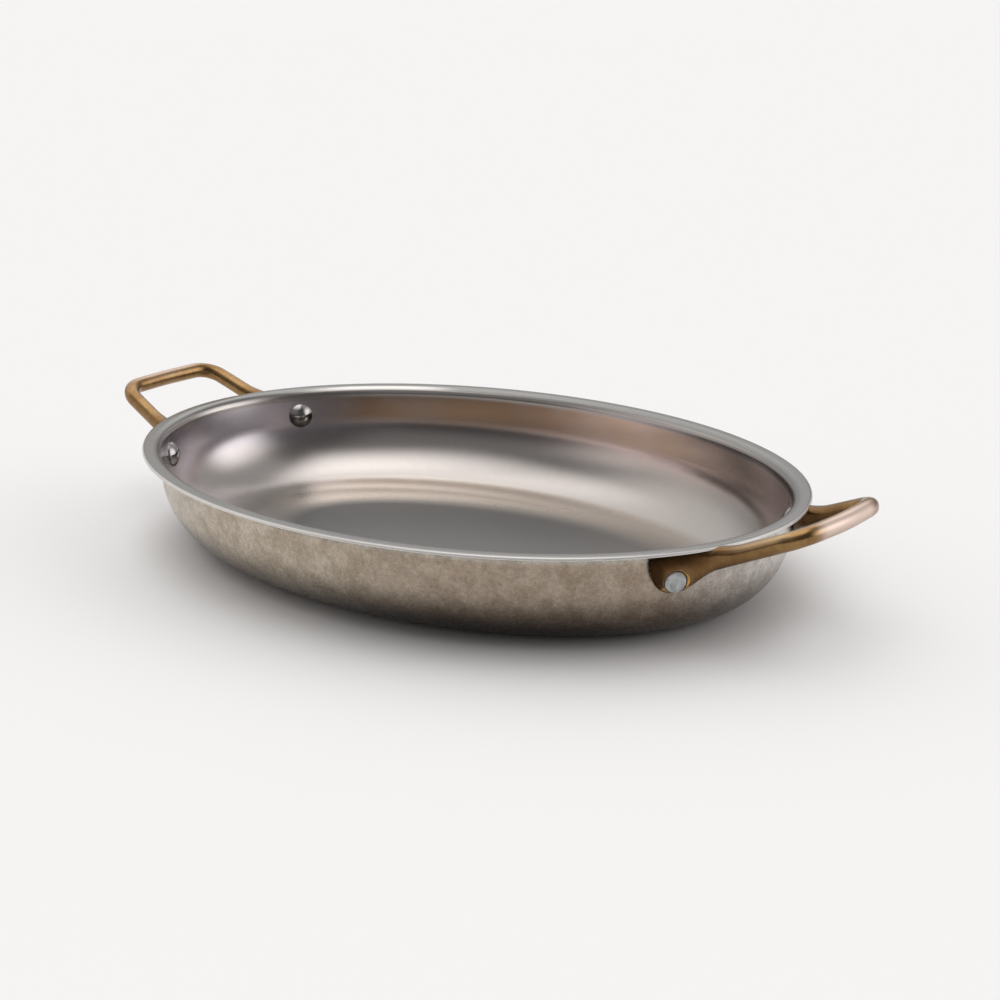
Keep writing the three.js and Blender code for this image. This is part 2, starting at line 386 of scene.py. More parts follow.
@dataclass
class RivetSeat:
    """Where a rivet goes through the wall: its frame has +Z along the axis, zero at the outer wall face."""

    shell: DishShell
    spread: float = 68.2 * MM
    depth: float = 9.3 * MM

    @property
    def angle(self) -> float:
        """Oval angle of the rivets, from the long axis."""
        return math.asin(self.spread / self.shell.width)

    def place(self, angle: float) -> Matrix:
        """The seat's frame at an oval angle.

        Args:
            angle: The oval angle of the rivet.

        Returns:
            The frame: +Z outward along the rivet's axis and +X level along the wall.
        """
        height = self.shell.height - self.depth
        point, outward = self.shell.rim_point(angle, self.shell.wall_inset(height), height)
        lean = self.shell.wall_lean
        axis = outward * math.cos(lean) - UP * math.sin(lean)
        level = Vector((-outward.y, outward.x, 0.0))
        turn = Matrix((level, axis.cross(level), axis)).transposed()
        return Matrix.Translation(point) @ turn.to_4x4()


@dataclass
class Rivet:
    """A rivet with a polished dome inside the dish and a dull flat end outside."""

    sheet: float
    shank_radius: float = 3.2 * MM
    head_radius: float = 4.2 * MM
    head_height: float = 2.4 * MM
    head_edge: float = 0.4 * MM
    tail: float = 3.7 * MM
    tail_round: float = 0.3 * MM
    tail_inset: float = 1.28 * MM
    segments: int = 64

    def build(self) -> Piece:
        """Models a rivet from the cap of a sphere, extruding its edge into rim, shank and flat end.

        Returns:
            The rivet's object in its seat's frame.
        """
        crown = self.head_height - self.head_edge
        dome = (self.head_radius ** 2 + crown ** 2) / (2 * crown)
        top = -self.sheet - self.head_height
        deselect_all()
        bpy.ops.mesh.primitive_uv_sphere_add(segments=self.segments, ring_count=self.segments, radius=dome)
        piece = bpy.context.object
        edit(piece)
        bpy.ops.transform.translate(value=(0.0, 0.0, top + dome))
        bpy.ops.mesh.bisect(plane_co=(0.0, 0.0, top + crown), plane_no=UP, clear_outer=True)
        bpy.ops.mesh.select_all(action="DESELECT")
        bpy.ops.mesh.select_non_manifold()
        middle = (0.0, 0.0, 0.0)
        neck = self.shank_radius / self.head_radius
        tip = (self.shank_radius - self.tail_round) / self.shank_radius
        straight = self.tail - self.tail_round + self.sheet
        for rise, scale in ((self.head_edge, 1.0), (0.0, neck), (straight, 1.0), (self.tail_round, tip)):
            bpy.ops.mesh.extrude_edges_move(TRANSFORM_OT_translate={"value": (0.0, 0.0, rise)})
            bpy.ops.transform.resize(value=(scale, scale, 1.0), center_override=middle)
        bpy.ops.mesh.edge_face_add()
        bpy.ops.mesh.inset(thickness=self.tail_inset)
        close_edit()
        face_outwards(piece)
        return piece

    def dress(self, piece: Piece, head: Material, tail: Material) -> None:
        """Puts the polish on the dome and the dull finish on the flat end."""
        fill_slots(piece, head, tail)
        put_in_slot(piece, 1, lambda face: face.center.z > 0.0)


@dataclass(frozen=True)
class HandleSection:
    """A rounded section of the handle: its reach from the centre line and the rounding of its corners."""

    half_width: float
    upper: float
    lower: float
    round_across: float
    round_up: float
    grip: float


@dataclass
class LoopHandle:
    """A cast loop: a flat lug at each end that swells out of the wall line into a rounded grip."""

    seat: RivetSeat
    reach: float = 19.5 * MM
    rise: float = 5.9 * MM
    bar_half: float = 19.4 * MM
    bar_bow: float = 1.3 * MM
    bow_radius: float = 80.0 * MM
    grip_radius: float = 8.0 * MM
    grip_half_width: float = 2.58 * MM
    grip_half_height: float = 2.56 * MM
    grip_round: float = 2.35 * MM
    lug_thickness: float = 4.2 * MM
    lug_half_height: float = 6.2 * MM
    lug_rise: float = 1.5 * MM
    lug_overhang: float = 6.5 * MM
    lug_ahead: float = 0.8 * MM
    lug_lower_blend: float = 11.0 * MM
    lug_upper_blend: float = 22.0 * MM
    lug_round_across: float = 1.9 * MM
    lug_round_up: float = 3.6 * MM
    lug_bend: float = 10.5 * MM
    lug_bend_radius: float = 9.0 * MM
    lug_bend_rise: float = 2.6 * MM
    tip_start: float = 0.05 * MM
    tip_slack: float = 0.01 * MM
    tip_crowding: int = 2
    side_tip_power: float = 2.6
    upper_tip_power: float = 4.0
    lower_tip_power: float = 2.0
    most_round: float = 0.95
    hole_radius: float = 3.45 * MM
    hole_segments: int = 64
    countersink: float = 0.8 * MM
    bare_depth: float = 1.2 * MM
    step: float = 0.9 * MM
    round_steps: int = 5
    mirror_merge: float = 0.01 * MM
    flat_facing: float = 0.9

    @property
    def lug_axis(self) -> Vector:
        """The way that the rivet in the back lug points."""
        return self.seat.place(self.seat.angle).to_3x3() @ UP

    def rounded_path(self, corners: list[Vector], radii: list[float]) -> list[Vector]:
        """A path through corner points, each inner corner rounded to its own radius.

        Args:
            corners: The points that the straight runs would meet at, ends included.
            radii: One radius for each inner corner.

        Returns:
            Points close together along the path's bends.
        """
        points = [corners[0]]
        for before, corner, after, radius in zip(corners, corners[1:], corners[2:], radii):
            back, ahead = (before - corner).normalized(), (after - corner).normalized()
            half = back.angle(ahead) / 2
            centre = corner + (back + ahead).normalized() * radius / math.sin(half)
            start = corner + back * radius / math.tan(half) - centre
            end = corner + ahead * radius / math.tan(half) - centre
            axis, sweep = start.cross(end), start.angle(end)
            steps = max(2, math.ceil(radius * sweep / self.step))
            for i in range(steps + 1):
                points.append(centre + Matrix.Rotation(sweep * i / steps, 3, axis) @ start)
        points.append(corners[-1])
        return points

    def half_path(self) -> list[Vector]:
        """Half of the centre line.

        Returns:
            Its points, from the end of the lug at the back to the middle of the grip.
        """
        axis = self.lug_axis
        along = Vector((axis.y, -axis.x, 0.0)).normalized()
        seat = self.seat.place(self.seat.angle).translation
        lug = seat + axis * self.lug_thickness / 2 + UP * self.lug_rise
        bend = lug + along * self.lug_bend + UP * self.lug_bend_rise
        height = self.seat.shell.height + self.rise
        reach = self.seat.shell.length / 2 + self.reach
        corner = Vector((reach, self.bar_half, height))
        middle = Vector((reach + self.bar_bow, 0.0, height))
        mirrored = Vector((reach, -self.bar_half, height))
        corners = [lug - along * self.lug_overhang, bend, corner, middle, mirrored]
        points = self.rounded_path(corners, [self.lug_bend_radius, self.grip_radius, self.bow_radius])
        half = [point for point in points if point.y > self.step / 2]
        return self.evened([*half, Vector((half[-1].x, 0.0, height))])

    def evened(self, points: list[Vector]) -> list[Vector]:
        """Splits long straight runs, most finely at the lug's tip.

        Args:
            points: The path's points.

        Returns:
            The same path with points at about even steps.
        """
        out = [points[0]]
        for number, (here, there) in enumerate(zip(points, points[1:])):
            pieces = max(1, round((there - here).length / self.step))
            power = self.tip_crowding if number == 0 else 1
            out += [here.lerp(there, (i / pieces) ** power) for i in range(1, pieces + 1)]
        return out

    def section(self, from_end: float) -> HandleSection:
        """The section at a distance from the lug's end.

        Args:
            from_end: The distance along the centre line.

        Returns:
            The section: a flat lug, round below its tip and squarer above it, that narrows to the grip.
        """
        lug_length = self.lug_overhang + self.lug_ahead
        grip = eased(from_end, lug_length, lug_length + self.lug_lower_blend)
        upper_grip = eased(from_end, lug_length, lug_length + self.lug_upper_blend)
        cap = 1.0 - min(1.0, max(from_end, self.tip_start) / self.lug_overhang)
        half_width = between(self.lug_thickness / 2, self.grip_half_width, grip)
        half_width *= cap_share(cap, self.side_tip_power)
        upper = between(self.lug_half_height, self.grip_half_height, upper_grip)
        upper *= cap_share(cap, self.upper_tip_power)
        lower = between(self.lug_half_height, self.grip_half_height, grip)
        lower *= cap_share(cap, self.lower_tip_power)
        round_across = between(self.lug_round_across, self.grip_round, grip)
        round_up = between(self.lug_round_up, self.grip_round, grip)
        return HandleSection(
            half_width, upper, lower, min(round_across, self.most_round * half_width),
            min(round_up, self.most_round * (upper + lower) / 2), grip,
        )

    def add_ring(self, place: Vector, tangent: Vector, lug_side: Vector, from_end: float) -> None:
        """Adds one rounded section, as a ring of edges, to the mesh in edit mode.

        Args:
            place: The point on the centre line.
            tangent: The way that the path runs there.
            lug_side: Sideways direction of the lug's section, square to the wall.
            from_end: The distance along the path from the lug's end.
        """
        section = self.section(from_end)
        level = UP.cross(tangent).normalized()
        side = lug_side.lerp(level, section.grip)
        side = (side - tangent * side.dot(tangent)).normalized()
        up = tangent.cross(side)
        turn = Matrix((side, up, tangent)).transposed()
        middle = place + up * (section.upper - section.lower) / 2
        half_height = (section.upper + section.lower) / 2
        squeeze = section.round_across / section.round_up
        own_axes = {
            "orient_type": "GLOBAL", "orient_matrix": turn, "orient_matrix_type": "GLOBAL",
            "center_override": middle,
        }
        bpy.ops.mesh.primitive_plane_add(size=2.0, location=middle, rotation=turn.to_euler())
        bpy.ops.transform.resize(value=(section.half_width, half_height * squeeze, 1.0), **own_axes)
        bpy.ops.mesh.bevel(affect="VERTICES", offset=section.round_across, segments=self.round_steps)
        bpy.ops.transform.resize(value=(1.0, 1.0 / squeeze, 1.0), **own_axes)
        bpy.ops.mesh.delete(type="ONLY_FACE")

    def build(self) -> Piece:
        """Models half the loop from rings bridged along its path, mirrors it and drills its lugs.

        Returns:
            The right-hand handle's object.
        """
        path = self.half_path()
        last = len(path) - 1
        straight_across = Vector((0.0, -1.0, 0.0))
        deselect_all()
        bpy.ops.mesh.primitive_plane_add(size=1.0)
        piece = bpy.context.object
        edit(piece)
        bpy.ops.mesh.delete(type="VERT")
        from_end = 0.0
        for i, place in enumerate(path):
            before, after = path[max(0, i - 1)], path[min(last, i + 1)]
            tangent = (after - before).normalized() if i < last else straight_across
            self.add_ring(place, tangent, self.lug_axis, from_end)
            from_end += (after - place).length
        bpy.ops.mesh.select_all(action="SELECT")
        bpy.ops.mesh.bridge_edge_loops()
        close_edit()
        self.close_tip(piece, path[0], (path[1] - path[0]).normalized())
        apply_modifier(piece, "MIRROR", use_axis=(False, True, False), merge_threshold=self.mirror_merge)
        face_outwards(piece)
        for angle in (self.seat.angle, -self.seat.angle):
            self.drill(piece, self.seat.place(angle))
        return piece

    def close_tip(self, piece: Piece, tip: Vector, way: Vector) -> None:
        """Fills the ring at the lug's tip; the ring at the middle stays open for the mirror.

        Args:
            piece: The half loop.
            tip: The first point of its path.
            way: The direction that the path sets out in.
        """
        def on_tip(vertex: bpy.types.MeshVertex) -> bool:
            """Whether a vertex belongs to the first ring."""
            offset = vertex.co - tip
            return abs(offset.dot(way)) < self.tip_slack and offset.length < self.lug_half_height

        edit_picked(piece, Pick.VERTEX, on_tip)
        bpy.ops.mesh.edge_face_add()
        close_edit()

    def drill(self, piece: Piece, place: Matrix) -> None:
        """Cuts a countersunk rivet hole through a lug.

        Args:
            piece: The whole loop.
            place: The seat of the rivet.
        """
        deselect_all()
        mouth = self.lug_thickness - self.countersink
        depth = 4 * self.lug_thickness
        bpy.ops.mesh.primitive_cylinder_add(vertices=self.hole_segments, radius=self.hole_radius, depth=depth)
        cutter = bpy.context.object
        edit(cutter)
        bpy.ops.transform.translate(value=(0.0, 0.0, mouth - depth / 2))
        close_edit()
        edit_picked(cutter, Pick.FACE, lambda face: face.normal.z > self.flat_facing)
        flare = 2 * self.countersink
        wider = (self.hole_radius + flare) / self.hole_radius
        bpy.ops.mesh.extrude_region_move(TRANSFORM_OT_translate={"value": (0.0, 0.0, flare)})
        bpy.ops.transform.resize(value=(wider, wider, 1.0))
        close_edit()
        settle(cutter, place)
        apply_modifier(piece, "BOOLEAN", object=cutter, operation="DIFFERENCE", solver="EXACT")
        bpy.data.objects.remove(cutter)

    def dress(self, piece: Piece, bronze: Material, bare: Material) -> None:
        """Puts the patina on the casting and bare metal in its countersinks.

        Args:
            piece: The whole loop, drilled.
            bronze: Finish of the casting.
            bare: Finish of the countersinks.
        """
        fill_slots(piece, bronze, bare)
        seats = [self.seat.place(angle).inverted() for angle in (self.seat.angle, -self.seat.angle)]
        widest = self.hole_radius + self.countersink
        deepest = self.lug_thickness - self.bare_depth

        def in_countersink(face: bpy.types.MeshPolygon) -> bool:
            """Whether a face lies in one of the two countersinks and not on the flat of the lug."""
            return any(
                (seat @ face.center).xy.length < widest
                and (seat @ face.center).z > deepest
                and (seat.to_3x3() @ face.normal).z < self.flat_facing
                for seat in seats
            )

        put_in_slot(piece, 1, in_countersink)
        smooth(piece)

    def copy_to(self, piece: Piece, end: End) -> Piece:
        """Copies the handle to an end of the dish, with a mesh of its own.

        Args:
            piece: The right-hand handle.
            end: The end that the copy goes to.

        Returns:
            The copy's object.
        """
        copy = piece.copy()
        copy.data = piece.data.copy()
        bpy.context.collection.objects.link(copy)
        settle(copy, Matrix.Rotation(end.value, 4, "Z"))
        return copy


class Graph:
    """A shader node tree with short calls that add nodes and link them."""

    # Keeps the division in an oval's inset clear of zero at its middle.
    LEAST_SLOPE = 0.0001

    def __init__(self, tree: bpy.types.NodeTree) -> None:
        """Starts from an empty tree."""
        self.tree = tree
        self.tree.nodes.clear()

    def add(self, kind: str, feeds: dict[str | int, Feed] | None = None, **settings: object) -> Node:
        """Adds one node.

        Args:
            kind: The node's type without its "ShaderNode" prefix.
            feeds: Values or sockets for its inputs, by name or number.
            settings: Values for the node's own properties.

        Returns:
            The new node.
        """
        node = self.tree.nodes.new("ShaderNode" + kind)
        for name, value in settings.items():
            setattr(node, name, value)
        for key, feed in (feeds or {}).items():
            self.feed(node.inputs[key], feed)
        return node

    def feed(self, socket: Socket, value: Feed) -> None:
        """Links a socket to an input, or sets the input's own value.

        Args:
            socket: The input.
            value: A socket to link, or a number, colour or vector to set.
        """
        if isinstance(value, Socket):
            self.tree.links.new(value, socket)
        elif socket.type == "RGBA":
            socket.default_value = (*value, 1.0)
        else:
            socket.default_value = value

    def math(self, operation: str, first: Feed, *others: Feed) -> Socket:
        """The result of a row of Math nodes, each of which takes in one more value.

        Args:
            operation: What every node does.
            first: The value that the row starts from.
            others: The values that are taken in.

        Returns:
            The last node's result.
        """
        result = first
        for other in others:
            result = self.add("Math", {0: result, 1: other}, operation=operation).outputs[0]
        return result

    def times(self, *values: Feed) -> Socket:
        """The product of some values."""
        return self.math("MULTIPLY", *values)

    def most(self, *values: Feed) -> Socket:
        """The greatest of some values."""
        return self.math("MAXIMUM", *values)

    def size(self, value: Feed) -> Socket:
        """A number without its sign."""
        return self.add("Math", {0: value}, operation="ABSOLUTE").outputs[0]

    def dot(self, vector: Feed, axis: Feed) -> Socket:
        """How far a vector goes along an axis."""
        return self.add("VectorMath", {0: vector, 1: axis}, operation="DOT_PRODUCT").outputs["Value"]

    def length(self, vector: Feed) -> Socket:
        """How long a vector is."""
        return self.add("VectorMath", {0: vector}, operation="LENGTH").outputs["Value"]

    def ease(self, value: Feed, places: Range) -> Socket:
        """Goes smoothly from 0 at the first of two places to 1 at the second."""
        feeds = {"Value": value, "From Min": places[0], "From Max": places[1]}
        return self.add("MapRange", feeds, interpolation_type="SMOOTHSTEP").outputs["Result"]

    def where(self, *tests: tuple[Feed, Range]) -> Socket:
        """A mask that is 1 where each value is past the second of its two places."""
        return self.times(*(self.ease(value, places) for value, places in tests))

    def span(self, value: Feed, ends: Range) -> Socket:
        """Spreads a value between 0 and 1 evenly over another range."""
        return self.add("MapRange", {"Value": value, "To Min": ends[0], "To Max": ends[1]}).outputs["Result"]

    def blend(self, amount: Feed, first: Feed, second: Feed) -> Socket:
        """Blends two numbers, by the numbers of a Mix node's sockets for them."""
        return self.add("Mix", {0: amount, 2: first, 3: second}).outputs[0]

    def mix(self, amount: Feed, first: Feed, second: Feed, how: str = "MIX") -> Socket:
        """Blends two colours, by the numbers of a Mix node's sockets for them."""
        feeds = {0: amount, 6: first, 7: second}
        return self.add("Mix", feeds, data_type="RGBA", blend_type=how).outputs[2]

    def place(self) -> Socket:
        """The point on the dish, in metres."""
        return self.add("TexCoord").outputs["Object"]

    def axes(self) -> tuple[Socket, ...]:
        """How far the point lies along X, Y and Z."""
        return tuple(self.add("SeparateXYZ", {0: self.place()}).outputs)

    def inset(self, halves: Range) -> Socket:
        """How far inside an upright oval wall the point lies, in metres.

        Args:
            halves: Half the oval's length, along X, and half its width, along Y.

        Returns:
            The distance, which is below 0 outside the oval.
        """
        shares = (1.0 / halves[0], 1.0 / halves[1], 0.0)
        share = self.add("VectorMath", {0: self.place(), 1: shares}, operation="MULTIPLY").outputs[0]
        slope = self.add("VectorMath", {0: share, 1: shares}, operation="MULTIPLY").outputs[0]
        out = self.length(share)
        reach = self.math("DIVIDE", out, self.most(self.length(slope), self.LEAST_SLOPE))
        return self.times(self.math("SUBTRACT", 1.0, out), reach)

    def noise(self, vector: Feed, scale: Feed, detail: Range) -> Socket:
        """A cloudy pattern between 0 and 1; its detail is a depth and a roughness."""
        feeds = {"Vector": vector, "Scale": scale, "Detail": detail[0], "Roughness": detail[1]}
        return self.add("TexNoise", feeds).outputs["Fac"]


@dataclass(frozen=True)
class TumbledMarks:
    """Marks that tumbling in grit leaves on metal: blotches, fine grain and hairline scratches."""

    name: str = "tumbled_marks"
    blotch_levels: Range = (0.38, 0.64)
    blotch_detail: Range = (6.0, 0.65)
    grain_ratio: float = 5.5
    grain_detail: Range = (3.0, 0.7)
    scratch_ratio: float = 2.6
    scratch_detail: Range = (2.0, 0.5)
    scratch_stretch: float = 16.0
    scratch_level: float = 0.5
    scratch_width: float = 0.012
    scratch_turns: Triple = (0.35, 1.25, 2.4)
    turn_ratios: Triple = (1.0, 0.6, 1.7)

    def group(self) -> bpy.types.NodeTree:
        """The shared node group, made when it is first asked for.

        Returns:
            The group, with a vector and a scale going in and three masks coming out.
        """
        made = bpy.data.node_groups.get(self.name)
        if made:
            return made
        tree = bpy.data.node_groups.new(self.name, "ShaderNodeTree")
        tree.interface.new_socket("Vector", in_out="INPUT", socket_type="NodeSocketVector")
        tree.interface.new_socket("Scale", in_out="INPUT", socket_type="NodeSocketFloat")
        graph = Graph(tree)
        given = tree.nodes.new("NodeGroupInput").outputs
        vector, scale = given["Vector"], given["Scale"]
        fine = graph.times(scale, self.scratch_ratio)
        grains = graph.times(scale, self.grain_ratio)
        masks = {
            "Blotch": graph.ease(graph.noise(vector, scale, self.blotch_detail), self.blotch_levels),
            "Grain": graph.noise(vector, grains, self.grain_detail),
            "Scratch": graph.most(*(self.lines(graph, vector, fine, turn) for turn in self.scratch_turns)),
        }
        result = tree.nodes.new("NodeGroupOutput")
        for name, mask in masks.items():
            tree.interface.new_socket(name, in_out="OUTPUT", socket_type="NodeSocketFloat")
            tree.links.new(mask, result.inputs[name])
        return tree

    def lines(self, graph: Graph, vector: Feed, scale: Feed, turn: float) -> Socket:
        """One set of hairlines.

        Args:
            graph: The group's graph.
            vector: The point that the pattern is read at.
            scale: How many waves a metre holds across the lines.
            turn: The way that the lines run, as a turn about X that the other axes follow.

        Returns:
            A mask that is 1 on a line.
        """
        stretch = (1.0, 1.0, 1.0 / self.scratch_stretch)
        turns = tuple(turn * ratio for ratio in self.turn_ratios)
        mapping = graph.add("Mapping", {"Vector": vector, "Rotation": turns, "Scale": stretch})
        wave = graph.noise(mapping.outputs[0], scale, self.scratch_detail)
        off = graph.size(graph.math("SUBTRACT", wave, self.scratch_level))
        return graph.ease(off, (self.scratch_width, 0.0))


class MetalGraph(Graph):
    """The graph of a metal finish's material, which starts from the marks on the metal."""

    def __init__(self, finish: Finish) -> None:
        """Makes a material that has only the finish's tumbling marks yet.

        Args:
            finish: The finish.
        """
        self.finish = finish
        self.made = bpy.data.materials.new(finish.name)
        self.made.use_nodes = True
        super().__init__(self.made.node_tree)
        feeds = {"Vector": self.place(), "Scale": finish.mark_scale}
        marks = self.add("Group", feeds, node_tree=TumbledMarks().group()).outputs
        self.blotch, self.grain, self.scratch = marks["Blotch"], marks["Grain"], marks["Scratch"]

    def marked(self, colour: Feed) -> Socket:
        """Lays stains, grain and bright scratches over a colour.

        Args:
            colour: The colour under them.

        Returns:
            The marked colour.
        """
        stain = self.times(self.blotch, self.finish.stain_amount)
        stained = self.mix(stain, colour, self.finish.stain, "MULTIPLY")
        half = self.finish.stain_amount / 2
        speck = self.span(self.grain, (1.0 - half, 1.0 + half))
        grey = self.add("CombineColor", {0: speck, 1: speck, 2: speck}).outputs[0]
        grained = self.mix(1.0, stained, grey, "MULTIPLY")
        scratch = self.times(self.scratch, self.finish.scratch_amount)
        return self.mix(scratch, grained, self.finish.scratch)

    def roughness(self) -> Socket:
        """The finish's own roughness, which follows the grain."""
        return self.span(self.grain, self.finish.roughness)

    def shaded(self, colour: Feed, roughness: Feed | None = None, metallic: Feed | None = None) -> Material:
        """Adds the shader and its relief.

        Args:
            colour: The finished colour.
            roughness: The roughness, or nothing for the finish's own range.
            metallic: How metallic the surface is, or nothing for the finish's own value.

        Returns:
            The finished material.
        """
        height = self.math("SUBTRACT", self.grain, self.times(self.scratch, self.finish.scratch_depth))
        bump = self.add("Bump", {"Strength": 1.0, "Distance": self.finish.relief, "Height": height})
        feeds = {
            "Base Color": colour,
            "Roughness": self.roughness() if roughness is None else roughness,
            "Metallic": self.finish.metallic if metallic is None else metallic,
            "Normal": bump.outputs[0],
        }
        shader = self.add("BsdfPrincipled", feeds)
        self.add("OutputMaterial", {"Surface": shader.outputs[0]})
        return self.made


@dataclass(frozen=True, kw_only=True)
class Finish:
    """What every metal finish has: a name, its colour and the strength of its marks.

    In the finishes that build on it, a range of places is where one look gives way to the next.
    """

    name: str
    colour: Colour
    stain: Colour
    roughness: Range
    metallic: float
    mark_scale: float
    stain_amount: float
    scratch_amount: float
    relief: float
    scratch: Colour = (0.8, 0.78, 0.75)
    scratch_depth: float = 0.5

    def material(self) -> Material:
        """Makes the finish's material: one colour under its marks."""
        graph = MetalGraph(self)
        return graph.shaded(graph.marked(self.colour))


@dataclass(frozen=True, kw_only=True)
class RimFinish(Finish):
    """Plain steel of the flange, paler round its edge with painted light and on one stretch of its bend with
    a painted highlight.
    """

    # Painted light: the pale colour round the flange's outer edge and on a stretch of its bend.
    edge: Colour
    edge_roughness: float
    rim_halves: Range = mm(120.0, 82.5)
    edge_insets: Range = mm(0.62, 0.27)
    bend_heights: Range = mm(32.42, 32.1)
    streak_rise: Range = mm(-106.0, -92.0)
    streak_fall: Range = mm(-58.0, -76.0)
    streak_back: Range = mm(15.0, 35.0)

    def material(self) -> Material:
        """Makes the finish's material.

        Returns:
            The material, paler round the edge with painted light, and duller there.
        """
        graph = MetalGraph(self)
        x, y, z = graph.axes()
        # A painted highlight on a stretch of the bend at the back left.
        painted_highlight_streak = graph.where(
            (x, self.streak_rise), (x, self.streak_fall), (y, self.streak_back), (z, self.bend_heights),
        )
        # The mask of the painted light: round the outer edge and on that stretch of the bend.
        edge = graph.most(painted_highlight_streak, graph.ease(graph.inset(self.rim_halves), self.edge_insets))
        colour = graph.marked(graph.mix(edge, self.colour, self.edge))
        return graph.shaded(colour, graph.blend(edge, graph.roughness(), self.edge_roughness))


@dataclass(frozen=True, kw_only=True)
class HollowFinish(Finish):
    """Half polished steel of the hollow: a duller base darkened with painted shade, a painted reflection
    round it, heat colours below the rim, and painted shade and light on the wall.
    """

    # Painted shade: the base's dark grey stands in for the dark reflections in the flat base; its higher
    # roughness is its own.
    base_colour: Colour
    base_roughness: Range
    base_metallic: float
    # Painted reflection: the pale colour of a ring round the base, standing in for the wall's highlight
    # mirrored in the flat base.
    painted_reflection_colour: Colour
    ring_roughness: Range
    # The ends' pale violet is the steel's tint, lightened with painted light for the light reflected between
    # the ends.
    end_colour: Colour
    end_roughness: Range
    # Painted light: a much paler colour high on the right end's wall.
    right_end_painted_light: Colour
    # Painted shade: a darker wall colour towards the right end, holding down the highlights there.
    far_painted_shade: Colour
    # Painted shade and painted light of the upper back wall: a dark colour on the left gives way to a light
    # one on the right, standing in for light reflected inside the hollow.
    shade: Colour
    back_right_painted_light: Colour
    copper: Colour
    rust: Colour
    base_heights: Range = mm(1.02, 3.7)
    high_rise: Range = mm(11.0, 21.0)
    high_fall: Range = mm(29.6, 28.2)
    back_places: Range = mm(5.0, 45.0)
    base_halves: Range = mm(90.7, 53.2)
    ring_insets: Range = mm(16.5, 3.0)
    ring_taper: float = 0.1
    ring_way: Triple = (0.76, 0.65, 0.0)
    ring_rise: Range = mm(-66.0, -46.0)
    ring_fall: Range = mm(110.0, -20.0)
    ring_least: float = 0.35
    end_places: Range = mm(67.0, 103.0)
    right_places: Range = mm(-20.0, 20.0)
    far_places: Range = mm(-15.0, 65.0)
    shade_places: Range = mm(-55.0, 15.0)
    warm_heights: Range = mm(16.5, 23.5)
    warm_rise: Range = mm(-106.0, -88.0)
    warm_fall: Range = mm(75.0, 20.0)
    rust_places: Range = mm(-40.0, 22.0)
    cloud_scale: float = 38.0
    cloud_detail: Range = (5.0, 0.6)
    cloud_levels: Range = (0.38, 0.6)
    cloud_least: float = 0.65

    def ring(self, graph: Graph) -> Socket:
        """A mask of the ring round the base beside the wall, where a painted reflection lies on smoother
        steel, strongest at one end.

        Args:
            graph: The material's graph.

        Returns:
            A value that is 1 on the ring and 0 in the middle of the base.
        """
        along = graph.dot(graph.place(), self.ring_way)
        narrowed = graph.math("ADD", graph.inset(self.base_halves), graph.times(along, self.ring_taper))
        rise = graph.span(graph.ease(along, self.ring_rise), (self.ring_least, 1.0))
        return graph.times(graph.where((narrowed, self.ring_insets), (along, self.ring_fall)), rise)

    def tinted(self, graph: Graph, wall: Feed, ring: Feed, end: Feed) -> Socket:
        """The steel's colour from the base to the rim and along the dish, with its painted shade, painted
        light and painted reflection.

        Args:
            graph: The material's graph.
            wall: A mask of the wall.
            ring: A mask of the base's ring, where the painted reflection lies.
            end: A mask of the dish's two ends.

        Returns:
            The colour under the marks.
        """
        x, y, z = graph.axes()
        high = graph.where((z, self.high_rise), (z, self.high_fall))
        high_back = graph.times(high, graph.ease(y, self.back_places))
        clouds = graph.noise(graph.place(), self.cloud_scale, self.cloud_detail)
        cloud = graph.span(graph.ease(clouds, self.cloud_levels), (self.cloud_least, 1.0))
        warm = graph.where((x, self.warm_rise), (x, self.warm_fall), (z, self.warm_heights))
        # The base's colour, with the painted reflection on its ring.
        base = graph.mix(ring, self.base_colour, self.painted_reflection_colour)
        # The wall's colour, darkened towards the right with painted shade.
        steel = graph.mix(graph.ease(x, self.far_places), self.colour, self.far_painted_shade)
        # The upper back wall's painted shade on the left and painted light on the right.
        shade = graph.mix(graph.ease(x, self.shade_places), self.shade, self.back_right_painted_light)
        # The upper wall's colour at the ends: violet tint with painted light, palest at the right.
        tip = graph.mix(graph.ease(x, self.right_places), self.end_colour, self.right_end_painted_light)
        heat = graph.mix(graph.ease(x, self.rust_places), self.copper, self.rust)
        colour = graph.mix(wall, base, steel)
        colour = graph.mix(high_back, colour, shade)
        colour = graph.mix(graph.times(high, end), colour, tip)
        return graph.mix(graph.times(high_back, warm, cloud), colour, heat)

    def material(self) -> Material:
        """Makes the finish's material.

        Returns:
            The material, which changes from the base to the rim and along the dish, with painted shade, light
            and reflection.
        """
        graph = MetalGraph(self)
        x, _, z = graph.axes()
        wall = graph.ease(z, self.base_heights)
        end = graph.ease(graph.size(x), self.end_places)
        ring = self.ring(graph)
        ranges = (self.roughness, self.end_roughness, self.base_roughness, self.ring_roughness)
        side, tip, middle, polished = [graph.span(graph.grain, ends) for ends in ranges]
        roughness = graph.blend(wall, graph.blend(ring, middle, polished), graph.blend(end, side, tip))
        metallic = graph.span(wall, (self.base_metallic, self.metallic))
        return graph.shaded(graph.marked(self.tinted(graph, wall, ring, end)), roughness, metallic)


